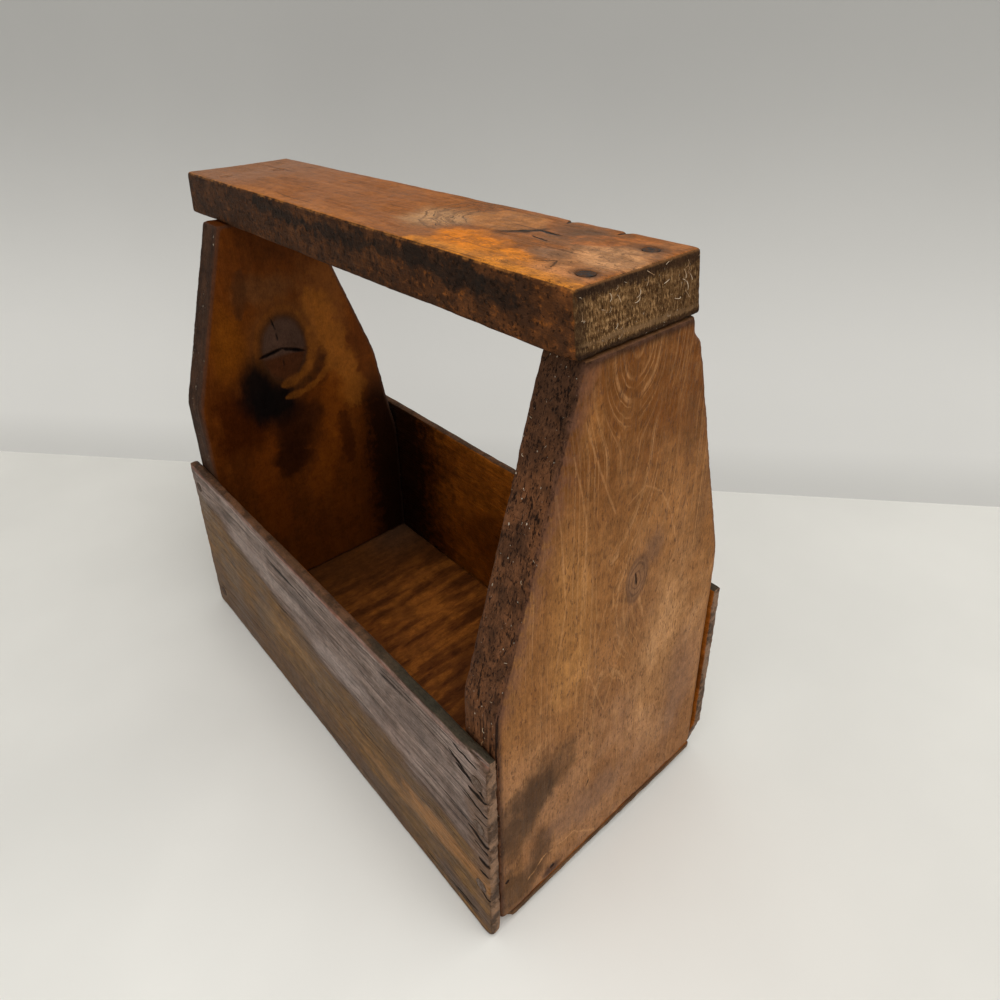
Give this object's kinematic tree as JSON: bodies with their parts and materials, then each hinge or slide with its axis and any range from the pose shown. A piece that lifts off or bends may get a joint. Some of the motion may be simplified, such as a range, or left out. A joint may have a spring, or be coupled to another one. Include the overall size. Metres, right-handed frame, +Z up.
{
  "type": "open wooden tool tote",
  "caption": "Open rectangular wooden tool tote with two tall tapered end boards and a flat handle board nailed across their tops.",
  "frame": {"origin": "centre of the bounding box at its base, which is the ground that the side boards' lower edges stand on", "axes": "+X along the tote towards the end board that the handle is nearly flush with, -Y towards the front side board, +Z up"},
  "size_m": [0.4293, 0.202, 0.3892],
  "materials": {
    "handle_wood": "old glossy red-brown varnish over softwood, worn bright along the edges",
    "right_end_wood": "worn satin varnish over softwood, warm tan brown",
    "left_end_wood": "old amber-brown varnish over softwood with a large knot",
    "front_side_wood": "weathered grey-brown softwood, varnish worn thin",
    "back_side_wood": "old brown varnish over softwood",
    "bottom_ply": "orange-brown varnished plywood",
    "nail_iron": "blackened, rusted iron"
  },
  "bodies": {
    "root": {"handle_board": "handle_wood", "right_end_board": "right_end_wood", "left_end_board": "left_end_wood", "front_side_board": "front_side_wood", "back_side_board": "back_side_wood", "bottom_sheet": "bottom_ply", "handle_nails_left": "nail_iron", "handle_nails_right": "nail_iron", "front_nails_left": "nail_iron", "front_nails_right": "nail_iron", "back_nails_left": "nail_iron", "back_nails_right": "nail_iron", "bottom_nails_left": "nail_iron", "bottom_nails_right": "nail_iron"}
  },
  "joints": []
}
